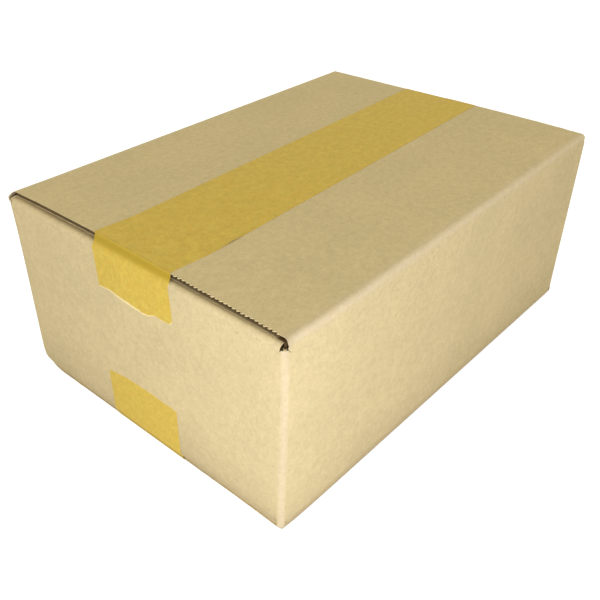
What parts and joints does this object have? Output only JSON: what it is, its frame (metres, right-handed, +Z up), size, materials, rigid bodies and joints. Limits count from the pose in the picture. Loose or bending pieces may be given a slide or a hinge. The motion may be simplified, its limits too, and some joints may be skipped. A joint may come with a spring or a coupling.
{
  "type": "closed cardboard box",
  "caption": "Closed corrugated cardboard shipping box, taped along the top and bottom seams, with one torn tape end.",
  "frame": {"origin": "under the middle of the box, on the surface that it stands on", "axes": "+X along the box, away from the end with the torn tape; +Y across it, towards the long side hidden in the picture; +Z up"},
  "size_m": [0.2522, 0.175, 0.1033],
  "materials": {
    "board": "matt brown kraft liner",
    "tape": "yellow-brown paper tape with a faint sheen"
  },
  "bodies": {
    "root": {"carton": "board", "top_tape": "tape", "bottom_tape": "tape"}
  },
  "joints": []
}
